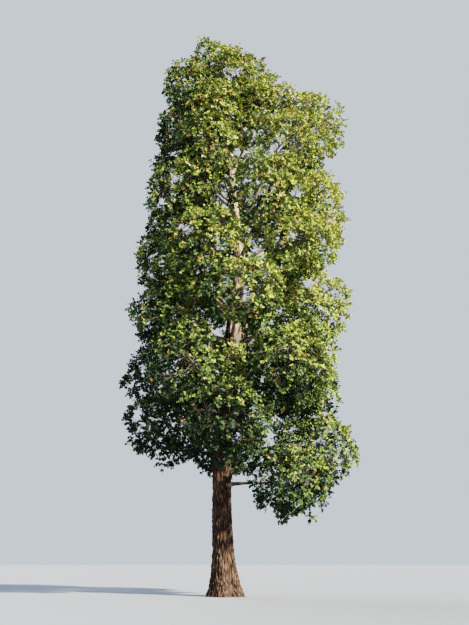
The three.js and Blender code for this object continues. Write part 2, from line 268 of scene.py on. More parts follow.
# Leaf colours, from the shadiest to the sunniest, then those of sprays that stand out. The first five are
# steps of painted shade and painted sunlight, dealt out by how the light falls on each spray.
LEAF_COLOURS = {
    "deep": (0.034, 0.056, 0.027),
    "shade": (0.074, 0.108, 0.042),
    "mid": (0.165, 0.217, 0.064),
    "olive": (0.295, 0.348, 0.086),
    "bright": (0.41, 0.458, 0.125),
    "pale": (0.53, 0.51, 0.25),
    "bronze": (0.38, 0.29, 0.085),
    "russet": (0.23, 0.15, 0.055),
}
LEAF_ROUGHNESS = 0.6
LEAF_GLOSS = 0.2

# How sunny a spray is painted, from 0 to about 1: painted sunlight on its side of the mass that faces the key
# light and on its side of the crown, and chance. LOW_SHADE is painted shade on the low sprays.
SUNNY_STEPS = (0.2, 0.4, 0.6, 0.79)
SUNNY_BASE = -0.02
SUNNY_SIDE = 0.5
SUNNY_CROWN = 0.44
CROWN_WIDTH = 14
MASS_CHANCE = 0.16
TUFT_CHANCE = 0.1
SPRAY_CHANCE = 0.2
# Painted shade: full at the first of LOW_SHADE_HEIGHTS and gone at the second
LOW_SHADE = 0.46
LOW_SHADE_HEIGHTS = (7, 15)
TURNED_SHARE = 0.24
PALE_SHARE = 0.04
RUSSET_SHARE = 0.06
HALF_SUNNY = 0.5

# Bark colours: old bark from its furrows to its worn ridges, then young bark
BARK_FURROW = (0.035, 0.02, 0.014)
BARK_RIDGE = (0.11, 0.06, 0.035)
BARK_WORN = (0.34, 0.22, 0.14)
BARK_ALGAE = (0.09, 0.095, 0.06)
BARK_TAN = (0.48, 0.34, 0.225)
BARK_CREAM = (0.74, 0.63, 0.48)
BARK_GREY = (0.3, 0.28, 0.22)
BARK_GLOSS = 0.3
TWIG_BROWN = (0.16, 0.12, 0.085)
TWIG_DARK = (0.1, 0.075, 0.055)
TWIG_PALE = (0.24, 0.19, 0.13)
TWIG_ROUGHNESS = 0.85

# Bark pattern. Noise is given as (scale, detail), the fine grain's with its roughness too, and each pair of
# edges says where a fade starts and ends.
MIDDLE_GREY = (0.5, 0.5, 0.5)
FURROW_DRIFT = (0.7, 3)
FURROW_EDGES = (0.02, 0.34)
FINE_GRAIN = (4.5, 7, 0.65)
FLAKE_DRIFT = (1.6, 4)
FLAKE_WANDER = 1.1
FLAKE_TALLNESS = 1.7
RIM_EDGES = (0.0, 0.12)
BROAD_PATCHES = (0.9, 4)
TWIG_MOTTLE = (6, 3)
MOTTLE_EDGES = (0.35, 0.65)
WORN_EDGES = (0.42, 0.66)
WORN_SHARE = 0.75
ALGAE_EDGES = (0.55, 0.75)
ALGAE_SHARE = 0.35
CREAM_EDGES = (0.35, 0.6)
GREY_EDGES = (0.8, 0.86)
RIM_SHARE = 0.5
TAN_EDGES = (0.35, 0.7)
TAN_SHARE = 0.3
RAGGED_EDGES = (0.3, 0.7)
RAGGED_HEIGHT = 3.0
ROUGHNESS_EDGES = (0.3, 0.7)
BARK_ROUGHNESS = (0.78, 0.96)
OLD_LIFTS = (0.6, 0.5)
YOUNG_LIFTS = (0.15, 0.15)
BUMP_STRENGTH = 0.8
BUMP_DISTANCE = 0.02

# Camera and studio. The camera stands at EYE and looks up by LOOK_UP degrees.
EYE = np.array([0.457, -36, 1.6])
LOOK_UP = 19.69
LENS = 40
LENS_FILM = 36
FAR_LIMIT = 500
FLOOR_SIZE = 600
FLOOR_DROP = 0.002
FLOOR_COLOUR = (0.36, 0.36, 0.35)
FLOOR_ROUGHNESS = 0.9
SKY_FILL = (0.46, 0.66, 1.0, 1)
SKY_FILL_STRENGTH = 0.52
BACKDROP = (0.72, 0.8, 0.9, 1)
BACKDROP_STRENGTH = 0.8

# Lights: the way each comes from, its energy, its spread in degrees and its colour
SUNWARD = Vector((0.72, -0.54, 0.44)).normalized()
SUN_ENERGY = 9.8
SUN_SPREAD = 3
SUN_COLOUR = (1.0, 0.95, 0.86)
RIMWARD = Vector((-0.5, 0.65, 0.55)).normalized()
RIM_ENERGY = 1.7
RIM_SPREAD = 40
RIM_COLOUR = (0.85, 0.92, 1.0)


def seeded(seed):
    """Numbers from 0 to 1, the same ones for the same seed."""
    state = (seed * SEED_SPREAD) & WORD

    def draw():
        nonlocal state
        state = (state + SEED_STEP) & WORD
        mixed = ((state ^ (state >> 15)) * (state | 1)) & WORD
        mixed ^= (mixed + ((mixed ^ (mixed >> 7)) * (mixed | 61))) & WORD
        return (mixed ^ (mixed >> 14)) / (WORD + 1)

    return draw


def either(draw, spread):
    """A number up to spread on either side of nothing."""
    return (2 * draw() - 1) * spread


def unit(vectors):
    return vectors / np.linalg.norm(vectors, axis=-1, keepdims=True)


def trunk_middle(heights):
    """The trunk's middle at each height, on a smooth line through TRUNK_LINE."""
    heights = np.atleast_1d(np.asarray(heights, float))
    last = len(TRUNK_LINE) - 1
    i = np.searchsorted(TRUNK_LINE[1:last, 0], heights)
    before = TRUNK_LINE[np.maximum(i - 1, 0)]
    a = TRUNK_LINE[i]
    b = TRUNK_LINE[i + 1]
    after = TRUNK_LINE[np.minimum(i + 2, last)]
    span = (b - a)[:, :1]
    t = (heights[:, None] - a[:, :1]) / span
    slope_a = (b - before) / (b - before)[:, :1] * span
    slope_b = (after - a) / (after - a)[:, :1] * span
    places = (
        (2 * t**3 - 3 * t**2 + 1) * a
        + (t**3 - 2 * t**2 + t) * slope_a
        + (3 * t**2 - 2 * t**3) * b
        + (t**3 - t**2) * slope_b
    )
    return np.column_stack([places[:, 1], places[:, 2], heights])


def trunk_radius(heights, angles):
    """The trunk's radius at each height and angle, with its root flare."""
    inner, outer = TAPER_POWERS
    taper = TRUNK_RADIUS * (1 - (heights / TAPER_HEIGHT) ** inner) ** outer
    flared = taper + FLARE_RADIUS * np.exp(-heights / FLARE_FADE)
    swell = sum(depth * np.cos(count * angles + turn) for count, depth, turn in ROOT_LOBES)
    return flared * (1 + np.exp(-heights / LOBE_FADE) * swell)


class Mass:
    """One mass of foliage: its space, and the curve of the limb that carries it."""

    def __init__(self, number, tier, index):
        height, left, right, size, _, turn, step, rise, bough = tier
        draw = seeded(number)
        self.number = number
        self.rise = rise
        angle = math.radians(turn + step * index + either(draw, TURN_SPREAD))
        reach = left + (right - left) * (1 + math.cos(angle)) / 2 - size
        lifted = height + either(draw, HEIGHT_SPREAD)
        self.middle = np.array([reach * math.cos(angle), reach * DEPTH_SHARE * math.sin(angle), lifted])
        if not rise:
            self.middle = np.array([(right - left) / 2, 0, height])
        self.half = np.array([size, size, size * FLATNESS])
        self.plan_limb(draw)
        self.entry = self.entry_share() if bough else 0
        self.walls = []

    def plan_limb(self, draw):
        """The limb leaves the trunk, bends, and ends in the mass. The top one goes straight to its middle."""
        foot = TRUNK_TOP + GAP
        if self.rise:
            foot = self.middle[2] - self.rise * math.hypot(self.middle[0], self.middle[1])
        start = trunk_middle(foot)[0]
        outward = unit((self.middle - start) * [1, 1, 0])
        end = self.middle + outward * LIMB_OVERSHOOT * self.half[0]
        length = np.linalg.norm(end - start)
        aside = np.cross(UP, outward)

        def bend(origin, degrees, reach):
            along = outward * math.cos(math.radians(degrees)) + UP * math.sin(math.radians(degrees))
            return origin + along * reach * length + aside * either(draw, LIMB_WANDER) * length

        nearer = bend(start, LEAVE_LEVEL + LEAVE_STEEPNESS * self.rise, BEND_REACHES[0])
        arrive = ARRIVE_HANGING if self.rise < 0 else ARRIVE_RISING
        further = bend(end, arrive, -BEND_REACHES[1])
        self.turned = draw() * math.pi * 2
        self.outward = outward if self.rise else UP
        self.line = (start, nearer, further, end) if self.rise else (start, self.middle)
        self.foot_radius = LIMB_LEAST + LIMB_SLIMNESS * length if self.rise else trunk_radius(TRUNK_TOP, 0)

    def limb(self, shares):
        """Points of the limb's curve at shares of it."""
        t = np.atleast_1d(np.asarray(shares, float))[:, None]
        if not self.rise:
            start, end = self.line
            return start + (end - start) * t
        start, nearer, further, end = self.line
        rest = 1 - t
        return rest**3 * start + 3 * rest**2 * t * nearer + 3 * rest * t**2 * further + t**3 * end

    def entry_share(self):
        """How far along its limb a bough enters the mass."""
        share = ENTRY_STEP
        while np.linalg.norm((self.limb(share)[0] - self.middle) / self.half) > ENTRY:
            share += ENTRY_STEP
        return share

    def plan_walls(self, masses):
        """A mass keeps to its own side of a plane between it and each neighbour."""
        for other in masses:
            apart = np.linalg.norm(other.middle - self.middle)
            if other is self or apart >= other.half[0] + self.half[0]:
                continue
            normal = (other.middle - self.middle) / apart
            share = self.half[0] / (self.half[0] + other.half[0])
            self.walls.append((normal, apart * share - CLEARANCE))

    def skin_along(self, ways):
        """How far it is from the middle to the mass's own skin, along each way."""
        return 1 / np.linalg.norm(ways / self.half, axis=-1)

    def wall_along(self, ways):
        """How far it is from the middle to the nearest wall, along each way."""
        least = np.full(len(ways), np.inf)
        for normal, limit in self.walls:
            towards = np.maximum(ways @ normal, SMALLEST)
            least = np.minimum(least, limit / towards)
        return least

    def space_along(self, ways):
        return np.minimum(self.skin_along(ways), self.wall_along(ways))

    def spread_ways(self, count, limit=INWARD_LIMIT):
        """Ways that point evenly all round, apart from those that point back at the trunk."""
        i = np.arange(count)
        height = 1 - (2 * (i + 0.5)) / count
        flat = np.sqrt(1 - height * height)
        turn = self.turned + i * GOLDEN_TURN
        ways = np.column_stack([flat * np.cos(turn), flat * np.sin(turn), height])
        kept = ways @ self.outward >= limit
        return ways[kept], i[kept]

    def twigs(self):
        """Foot and tip of each main twig of the mass."""
        feet = []
        tips = []
        least = max(self.entry, TWIG_FEET[0])
        ways, numbers = self.spread_ways(TWIGS)
        for way, i in zip(ways, numbers):
            draw = seeded(int(self.number * SEEDS_FOR_EACH_MASS + i))
            reach = TWIG_REACH + either(draw, TWIG_REACH_SPREAD)
            share = least + (TWIG_FEET[1] - least) * (0.5 + 0.5 * (way @ self.outward))
            feet.append(self.limb(share)[0])
            tips.append(self.middle + way * reach * self.space_along(way[None])[0])
        return np.array(feet), np.array(tips)


def plan_masses():
    masses = []
    for tier in TIERS:
        count = tier[4]
        for index in range(count):
            masses.append(Mass(len(masses) + 1, tier, index))
    for mass in masses:
        mass.plan_walls(masses)
    return masses


def mesh_piece(name, corners, faces, material):
    """A mesh object from arrays of corners and triangles."""
    mesh = bpy.data.meshes.new(name)
    mesh.vertices.add(len(corners))
    mesh.vertices.foreach_set("co", np.asarray(corners, np.float32).ravel())
    mesh.loops.add(faces.size)
    mesh.loops.foreach_set("vertex_index", np.asarray(faces, np.int32).ravel())
    mesh.polygons.add(len(faces))
    mesh.polygons.foreach_set("loop_start", np.arange(0, faces.size, 3, dtype=np.int32))
    mesh.update(calc_edges=True)
    piece = bpy.data.objects.new(name, mesh)
    bpy.context.scene.collection.objects.link(piece)
    mesh.materials.append(material)
    return piece


def repeated(faces, count, corners):
    """The faces of one shape for a row of count shapes, which have so many corners each."""
    return (faces[None] + (np.arange(count) * corners)[:, None, None]).reshape(-1, 3)


def rods(lines, radii, sides):
    """Tapering closed rods, each with a pointed tip. lines is rods x rings x 3, and radii rods x rings."""
    count, rings = radii.shape
    tangents = unit(np.gradient(lines, axis=1))
    leaning = np.where(np.abs(tangents[:, :1, 2:]) > UPRIGHT, [[[1.0, 0, 0]]], [[[0, 0, 1.0]]])
    side = unit(np.cross(tangents[:, 0], leaning[:, 0]))
    angles = np.arange(sides) * 2 * math.pi / sides
    corners = np.empty((count, rings * sides + 1, 3))
    for ring in range(rings):
        across = unit(np.cross(side, tangents[:, ring]))
        side = unit(np.cross(tangents[:, ring], across))
        for k, angle in enumerate(angles):
            out = side * math.cos(angle) + across * math.sin(angle)
            corners[:, ring * sides + k] = lines[:, ring] + out * radii[:, ring, None]
    corners[:, -1] = lines[:, -1] + tangents[:, -1] * radii[:, -1, None] * ROD_TIP
    return corners.reshape(-1, 3), repeated(rod_faces(rings, sides), count, rings * sides + 1)


def rod_faces(rings, sides):
    """Triangles of one rod: its wall, its pointed tip and its foot."""
    faces = []
    for ring in range(rings - 1):
        for k in range(sides):
            a = ring * sides + k
            b = ring * sides + (k + 1) % sides
            faces += [(a, a + sides, b), (b, a + sides, b + sides)]
    tip = rings * sides
    faces += [(tip - sides + k, tip, tip - sides + (k + 1) % sides) for k in range(sides)]
    faces += [(0, k + 1, k + 2) for k in range(sides - 2)]
    return np.array(faces)


def bent_lines(starts, leave, ends, rings):
    """Curved lines from starts to ends, which set off along leave."""
    reach = np.linalg.norm(ends - starts, axis=1, keepdims=True)
    corner = starts + unit(leave) * reach * ROD_BEND
    t = np.linspace(0, 1, rings)[None, :, None]
    return (1 - t) ** 2 * starts[:, None] + 2 * (1 - t) * t * corner[:, None] + t**2 * ends[:, None]


class Wood:
    """Rods of one kind, gathered until they become one piece."""

    def __init__(self, rings, sides, radii):
        self.rings = rings
        self.sides = sides
        self.lines = []
        first, last = radii
        self.radii = first + (last - first) * np.linspace(0, 1, rings)

    def piece(self, name, material):
        lines = np.concatenate(self.lines)
        corners, faces = rods(lines, np.broadcast_to(self.radii, lines.shape[:2]), self.sides)
        return mesh_piece(name, corners, faces, material)


def keeps_in_box(places):
    low, high = (np.array(corner) for corner in cad_box)
    return np.all((places > low - BOX_SLACK) & (places < high + BOX_SLACK), axis=1)


def ragged_skin(mass, ways):
    """The mass's skin, a little fuller at its corners than an even egg, with swells and hollows."""
    full = np.sum(np.abs(ways / mass.half) ** FULLNESS, axis=1) ** (-1 / FULLNESS)
    rng = np.random.default_rng(mass.number + SWELL_SEED)
    swell = np.ones(len(ways))
    for _ in range(SWELLS):
        heading = unit(rng.normal(0, 1, 3))
        waves = rng.uniform(*SWELL_TURNS) * (ways @ heading) + rng.uniform(0, 2 * math.pi)
        swell += SWELL_DEPTH * np.cos(waves)
    return full * np.minimum(swell, SWELL_LIMIT)


def rounded_least(skin, wall):
    """The lesser of two reaches, rounded off where they are alike, so that masses meet in deep clefts."""
    return (skin**-CLEFT_POWER + wall**-CLEFT_POWER) ** (-1 / CLEFT_POWER)


def keeps_off_trunk(tufts):
    heights = np.clip(tufts[:, 2], 0, TRUNK_TOP)
    away = np.hypot(*(tufts - trunk_middle(heights))[:, :2].T)
    return (away > trunk_radius(heights, 0) + TRUNK_ROOM) | (tufts[:, 2] > TRUNK_TOP)


def seen_apart(tufts, across, height):
    """How far each tuft is seen from a place on the trunk's plane, from where the camera stands."""
    share = -EYE[1] / (tufts[:, 1] - EYE[1])
    seen = EYE + (tufts - EYE) * share[:, None]
    return np.hypot(seen[:, 0] - across, seen[:, 2] - height)


def keeps_off_openings(tufts):
    """Which tufts leave the sky free in every opening."""
    free = np.full(len(tufts), True)
    for across, height, half_width in OPENINGS:
        free &= seen_apart(tufts, across, height) > half_width
    return free


def keeps_off_windows(tufts):
    """Which tufts neither hide nor shade the wood that shows in a window."""
    sunward = np.array(SUNWARD)
    free = np.full(len(tufts), True)
    for across, height, half_width in WINDOWS:
        hiding = (seen_apart(tufts, across, height) < half_width) & (tufts[:, 1] < 0)
        from_wood = tufts - [across, 0, height]
        ahead = from_wood @ sunward
        beside = np.linalg.norm(from_wood - ahead[:, None] * sunward, axis=1)
        shading = (beside < half_width + SUN_ROOM) & (ahead > 0)
        free &= ~(hiding | shading)
    return free


def pick_parents(tufts, points, ways):
    """The point of older wood that each tuft grows from: near it, and not behind it."""
    between = tufts[:, None] - points[None]
    apart = np.linalg.norm(between, axis=2)
    ahead = np.einsum("ijk,jk->ij", between, ways) / np.maximum(apart, SMALLEST)
    return np.argmin(apart * (1 + BEHIND_COST * (1 - ahead)), axis=1)


def grow_branches(mass, branches):
    """Grows the branches of a mass, and gives the points of wood that shoots may leave, and its way there."""
    feet, tips = mass.twigs()
    limb_points = mass.limb(np.linspace(TWIG_FEET[0], 1, LIMB_STEPS))
    limb_ways = unit(np.gradient(limb_points, axis=0))
    leave = unit(tips - feet) + BRANCH_ALONG_LIMB * limb_ways[LIMB_STEPS // 2]
    lines = bent_lines(feet, leave, tips, branches.rings)
    branches.lines.append(lines)
    line_ways = unit(np.gradient(lines, axis=1))
    points = np.concatenate([lines[:, YOUNG_WOOD:].reshape(-1, 3), limb_points])
    ways = np.concatenate([line_ways[:, YOUNG_WOOD:].reshape(-1, 3), limb_ways])
    return points, ways


def place_tufts(mass, rng):
    """The place and facing of the tufts of leaves of a mass."""
    tufts = []
    facings = []
    limit = TUFT_INWARD_LIMIT if mass.rise > LOW_RISE else LOW_INWARD_LIMIT
    for count, shares in ((OUTER_TUFTS, OUTER_SHARES), (INNER_TUFTS, INNER_SHARES)):
        out = mass.spread_ways(round(count * (mass.half[0] / USUAL_SIZE) ** 2), limit)[0]
        out = unit(out + rng.normal(0, TUFT_JITTER, out.shape))
        deep = mass.wall_along(out) < DEEP_WALL * mass.skin_along(out)
        out = out[~deep | (rng.uniform(0, 1, len(out)) < DEEP_SHARE)]
        room = rounded_least(ragged_skin(mass, out) - TUFT_REACH, mass.wall_along(out))
        reach = rng.uniform(*shares, len(out)) * room
        droop = DROOP * np.maximum(-out[:, 2], 0) * rng.uniform(0, 1, len(out)) ** 2
        tufts.append(mass.middle + out * reach[:, None] - UP * droop[:, None])
        facings.append(unit(out + UP * TUFT_LIFT + rng.normal(0, TUFT_TILT, out.shape)))
    tufts = np.concatenate(tufts)
    facings = np.concatenate(facings)
    free = keeps_off_openings(tufts) & keeps_off_windows(tufts) & keeps_off_trunk(tufts)
    return tufts[free], facings[free]


def grow_shoots(tufts, points, ways, shoots):
    """Grows a shoot to each tuft from the older wood."""
    parents = pick_parents(tufts, points, ways)
    leave = ways[parents] + SHOOT_TURN * unit(tufts - points[parents])
    shoots.lines.append(bent_lines(points[parents], leave, tufts, shoots.rings))


def grow_sprays(tufts, facings, rng):
    """Foot, heading and length of each spray, which lean out round a tuft's own facing."""
    shape = (len(tufts), TUFT_SPRAYS)
    side = unit(np.cross(facings, rng.normal(0, 1, facings.shape)))
    across = np.cross(facings, side)
    number = np.arange(TUFT_SPRAYS)
    lean = np.radians(np.where(number == 0, MIDDLE_LEAN, SPRAY_LEAN)) + rng.normal(0, LEAN_SPREAD, shape)
    turn = number * GOLDEN_TURN + rng.uniform(0, 2 * math.pi, (len(tufts), 1))
    round_about = side[:, None] * np.cos(turn)[..., None] + across[:, None] * np.sin(turn)[..., None]
    heading = facings[:, None] * np.cos(lean)[..., None] + round_about * np.sin(lean)[..., None]
    length = SPRAY_LENGTH * rng.uniform(*SPRAY_SIZES, shape)
    foot = tufts[:, None] - facings[:, None] * rng.uniform(0.0, SPRAY_SET_BACK, shape)[..., None]
    return foot.reshape(-1, 3), unit(heading.reshape(-1, 3)), length.ravel()


def grow_leaves(foot, heading, length, facing, rng):
    """Corners of every leaf, as sprays x leaves x corners x 3."""
    shape = (len(foot), SPRAY_LEAVES)
    number = np.arange(SPRAY_LEAVES)
    share = FIRST_LEAF + (1 - FIRST_LEAF) * number / (SPRAY_LEAVES - 1)
    ends = np.where(number == SPRAY_LEAVES - 1, 0, np.where(number % 2, 1, -1))
    root = foot[:, None] + heading[:, None] * (length[:, None] * share)[..., None]
    normal = UP * LEAF_UP + facing[:, None] * LEAF_OUT + rng.normal(0, LEAF_WANDER, (*shape, 3))
    side = unit(np.cross(heading[:, None], normal)) * ends[None, :, None]
    droop = rng.uniform(*LEAF_DROOP, (*shape, 1))
    stray = rng.normal(0, LEAF_STRAY, side.shape)
    along = unit(heading[:, None] * LEAF_FORWARD + side * LEAF_ASIDE - UP * droop + stray)
    across = unit(np.cross(along, normal))
    top = np.cross(across, along)
    size = LEAF_LENGTH * rng.uniform(*LEAF_SIZES, (*shape, 1, 1))
    x, y, z = (LEAF_CORNERS[:, k][None, None, :, None] for k in range(3))
    return root[:, :, None] + size * (across[:, :, None] * x + along[:, :, None] * y + top[:, :, None] * z)


def sunny_tufts(mass, tufts, rng):
    """How sunny each tuft is painted: painted sunlight on its side of the mass and of the crown, less for
    painted shade low down, and chance.
    """
    out = unit((tufts - mass.middle) / mass.half)
    sunny = 0.5 + 0.5 * out @ np.array(SUNWARD)
    sunny = SUNNY_SIDE * sunny + SUNNY_BASE + SUNNY_CROWN * (0.5 + tufts[:, 0] / CROWN_WIDTH)
    sunny = sunny + MASS_CHANCE * rng.uniform() + rng.normal(0, TUFT_CHANCE, len(tufts))
    low, high = LOW_SHADE_HEIGHTS
    return sunny - LOW_SHADE * (1 - np.clip((tufts[:, 2] - low) / (high - low), 0, 1))


def deal_colours(mass, tufts, rng):
    """The number of the colour of each spray: sprays painted sunny get the brighter colours and sprays
    painted in shade the darker ones, and some sprays have turned.
    """
    pale, bronze, russet = (list(LEAF_COLOURS).index(name) for name in ("pale", "bronze", "russet"))
    sunny = sunny_tufts(mass, tufts, rng)
    each = sunny[:, None] + rng.normal(0, SPRAY_CHANCE, (len(tufts), TUFT_SPRAYS))
    # Each spray's step of painted shade and painted sunlight
    colour = np.searchsorted(SUNNY_STEPS, each)
    turned = rng.uniform(0, 1, each.shape)
    high = np.clip(tufts[:, 2] / TRUNK_TOP, 0, 1)[:, None]
    colour = np.where(turned < TURNED_SHARE * high * np.clip(sunny, 0, 1)[:, None], bronze, colour)
    colour = np.where((turned > 1 - PALE_SHARE) & (each > HALF_SUNNY), pale, colour)
    colour = np.where((turned > 1 - RUSSET_SHARE * high) & (each <= HALF_SUNNY), russet, colour)
    return colour.ravel()


def plain_material(name, colour, roughness):
    material = bpy.data.materials.new(name)
    material.use_nodes = True
    shader = shader_of(material)
    shader.inputs["Base Color"].default_value = (*colour, 1)
    shader.inputs["Roughness"].default_value = roughness
    return material


def shader_of(material):
    return material.node_tree.nodes["Principled BSDF"]


def leaf_material(name, colour):
    material = plain_material(name, colour, LEAF_ROUGHNESS)
    shader_of(material).inputs["Specular IOR Level"].default_value = LEAF_GLOSS
    return material


def new_group(name, inputs, outputs):
    """A shader node group. Inputs are given as (name, kind, default), and outputs as (name, kind)."""
    group = bpy.data.node_groups.new(name, "ShaderNodeTree")
    for label, kind, default in inputs:
        socket = group.interface.new_socket(label, in_out="INPUT", socket_type="NodeSocket" + kind)
        if default is not None:
            socket.default_value = default
    for label, kind in outputs:
        group.interface.new_socket(label, in_out="OUTPUT", socket_type="NodeSocket" + kind)
    return group, group.nodes.new("NodeGroupInput"), group.nodes.new("NodeGroupOutput")


class Wiring:
    """Adds nodes to a tree and joins them, with less to write."""

    def __init__(self, tree):
        self.tree = tree

    def add(self, kind, links=None, **settings):
        node = self.tree.nodes.new("ShaderNode" + kind)
        for name, value in settings.items():
            setattr(node, name, value)
        for socket, value in (links or {}).items():
            if isinstance(value, bpy.types.NodeSocket):
                self.tree.links.new(value, node.inputs[socket])
            else:
                node.inputs[socket].default_value = value
        return node

    def vector(self, operation, first, second):
        return self.add("VectorMath", {0: first, 1: second}, operation=operation).outputs[0]

    def scale(self, vector, amount):
        return self.add("VectorMath", {0: vector, "Scale": amount}, operation="SCALE").outputs[0]

    def number(self, operation, first, second):
        return self.add("Math", {0: first, 1: second}, operation=operation).outputs[0]

    def weighed(self, first, second, weights):
        """The sum of two values, each times its own weight."""
        first = self.number("MULTIPLY", first, weights[0])
        second = self.number("MULTIPLY", second, weights[1])
        return self.number("ADD", first, second)

    def ramp(self, value, low, high, start=0.0, end=1.0):
        links = {"Value": value, "From Min": low, "From Max": high, "To Min": start, "To Max": end}
        return self.add("MapRange", links).outputs["Result"]

    def mix(self, share, first, second):
        node = self.add("Mix", {"Factor": share}, data_type="RGBA")
        for socket, value in ((node.inputs[6], first), (node.inputs[7], second)):
            if isinstance(value, bpy.types.NodeSocket):
                self.tree.links.new(value, socket)
            else:
                socket.default_value = (*value, 1)
        return node.outputs[2]

    def noise(self, place, scale, detail, roughness=0.55):
        links = {"Vector": place, "Scale": scale, "Detail": detail, "Roughness": roughness}
        return self.add("TexNoise", links)

    def pushed_about(self, place, scale, detail, amount):
        """The place, pushed about by noise, so that no line of a pattern stays straight."""
        drift = self.vector("SUBTRACT", self.noise(place, scale, detail).outputs["Color"], MIDDLE_GREY)
        return self.vector("ADD", place, self.scale(drift, amount))


def furrows_group():
    """Ridges and furrows of old bark, long in the way the wood grows, with a finer grain on them."""
    inputs = (
        ("Place", "Vector", None),
        ("Across", "Float", 0.08),
        ("Along", "Float", 0.5),
        ("Wander", "Float", 0.9),
    )
    group, given, made = new_group("furrows", inputs, (("Ridge", "Float"), ("Grain", "Float")))
    wire = Wiring(group)
    across = given.outputs["Across"]
    size = wire.add("CombineXYZ", {"X": across, "Y": across, "Z": given.outputs["Along"]}).outputs[0]
    place = wire.vector("DIVIDE", given.outputs["Place"], size)
    place = wire.pushed_about(place, *FURROW_DRIFT, given.outputs["Wander"])
    cells = wire.add("TexVoronoi", {"Vector": place, "Scale": 1.0}, feature="DISTANCE_TO_EDGE")
    ridge = wire.ramp(cells.outputs["Distance"], *FURROW_EDGES)
    grain = wire.noise(place, *FINE_GRAIN).outputs["Fac"]
    group.links.new(ridge, made.inputs["Ridge"])
    group.links.new(grain, made.inputs["Grain"])
    return group


def flakes_group():
    """Patches left where young bark has come away in flakes."""
    inputs = (("Place", "Vector", None), ("Size", "Float", 0.25))
    group, given, made = new_group("flakes", inputs, (("Patch", "Float"), ("Rim", "Float")))
    wire = Wiring(group)
    size = given.outputs["Size"]
    tall = wire.number("MULTIPLY", size, FLAKE_TALLNESS)
    spread = wire.add("CombineXYZ", {"X": size, "Y": size, "Z": tall}).outputs[0]
    place = wire.vector("DIVIDE", given.outputs["Place"], spread)
    place = wire.pushed_about(place, *FLAKE_DRIFT, FLAKE_WANDER)
    cells = wire.add("TexVoronoi", {"Vector": place, "Scale": 1.0})
    edges = wire.add("TexVoronoi", {"Vector": place, "Scale": 1.0}, feature="DISTANCE_TO_EDGE")
    patch = wire.add("SeparateColor", {"Color": cells.outputs["Color"]}).outputs["Red"]
    rim = wire.ramp(edges.outputs["Distance"], *RIM_EDGES)
    group.links.new(patch, made.inputs["Patch"])
    group.links.new(rim, made.inputs["Rim"])
    return group


def old_bark(wire, ridge, grain, broad):
    """Dark furrows, red-brown ridges worn paler on top, and a little green."""
    worn = wire.number("MULTIPLY", ridge, wire.ramp(grain, *WORN_EDGES))
    colour = wire.mix(ridge, BARK_FURROW, BARK_RIDGE)
    colour = wire.mix(wire.number("MULTIPLY", worn, WORN_SHARE), colour, BARK_WORN)
    return wire.mix(wire.ramp(broad, *ALGAE_EDGES, 0.0, ALGAE_SHARE), colour, BARK_ALGAE)


def young_bark(wire, patch, rim, grain):
    """Tan and cream flakes with dark rims, and a few grey ones."""
    colour = wire.mix(wire.ramp(patch, *CREAM_EDGES), BARK_TAN, BARK_CREAM)
    colour = wire.mix(wire.ramp(patch, *GREY_EDGES), colour, BARK_GREY)
    at_rim = wire.number("SUBTRACT", 1.0, rim)
    colour = wire.mix(wire.number("MULTIPLY", at_rim, RIM_SHARE), colour, BARK_FURROW)
    return wire.mix(wire.ramp(grain, *TAN_EDGES, TAN_SHARE, 0.0), colour, BARK_TAN)


def bark_material(name, furrows, flakes, young_from, young_to, across, along, flake_size):
    """Furrowed red-brown bark on old wood, which gives way to pale, flaking bark on young wood higher up."""
    material = bpy.data.materials.new(name)
    material.use_nodes = True
    links = material.node_tree.links
    shader = shader_of(material)
    wire = Wiring(material.node_tree)
    place = wire.add("Attribute", attribute_name="grown_place").outputs["Vector"]
    height = wire.add("SeparateXYZ", {0: wire.add("TexCoord").outputs["Object"]}).outputs["Z"]
    old = wire.add("Group", {"Place": place, "Across": across, "Along": along}, node_tree=furrows)
    flaky = wire.add("Group", {"Place": place, "Size": flake_size}, node_tree=flakes)
    ridge, grain = old.outputs["Ridge"], old.outputs["Grain"]
    patch, rim = flaky.outputs["Patch"], flaky.outputs["Rim"]
    broad = wire.noise(place, *BROAD_PATCHES).outputs["Fac"]
    ragged = wire.ramp(broad, *RAGGED_EDGES, -RAGGED_HEIGHT, RAGGED_HEIGHT)
    young = wire.ramp(wire.number("ADD", height, ragged), young_from, young_to)
    colour = wire.mix(young, old_bark(wire, ridge, grain, broad), young_bark(wire, patch, rim, grain))
    links.new(colour, shader.inputs["Base Color"])
    links.new(wire.ramp(grain, *ROUGHNESS_EDGES, *BARK_ROUGHNESS), shader.inputs["Roughness"])
    furrowed = wire.weighed(ridge, grain, OLD_LIFTS)
    flaked = wire.weighed(rim, grain, YOUNG_LIFTS)
    lift = wire.add("Mix", {"Factor": young, 2: furrowed, 3: flaked}, data_type="FLOAT").outputs[0]
    bump = wire.add("Bump", {"Strength": BUMP_STRENGTH, "Distance": BUMP_DISTANCE, "Height": lift})
    links.new(bump.outputs["Normal"], shader.inputs["Normal"])
    shader.inputs["Specular IOR Level"].default_value = BARK_GLOSS
    return material


def twig_material():
    """Thin wood: grey-brown, a little mottled."""
    material = plain_material("twig_bark", TWIG_BROWN, TWIG_ROUGHNESS)
    wire = Wiring(material.node_tree)
    mottle = wire.noise(wire.add("TexCoord").outputs["Object"], *TWIG_MOTTLE).outputs["Fac"]
    colour = wire.mix(wire.ramp(mottle, *MOTTLE_EDGES), TWIG_DARK, TWIG_PALE)
    material.node_tree.links.new(colour, shader_of(material).inputs["Base Color"])
    return material


def vertices_of(piece):
    places = np.empty(len(piece.data.vertices) * 3, np.float32)
    piece.data.vertices.foreach_get("co", places)
    return places.reshape(-1, 3).astype(float)


def set_vertices(piece, places):
    piece.data.vertices.foreach_set("co", places.astype(np.float32).ravel())
    piece.data.update()


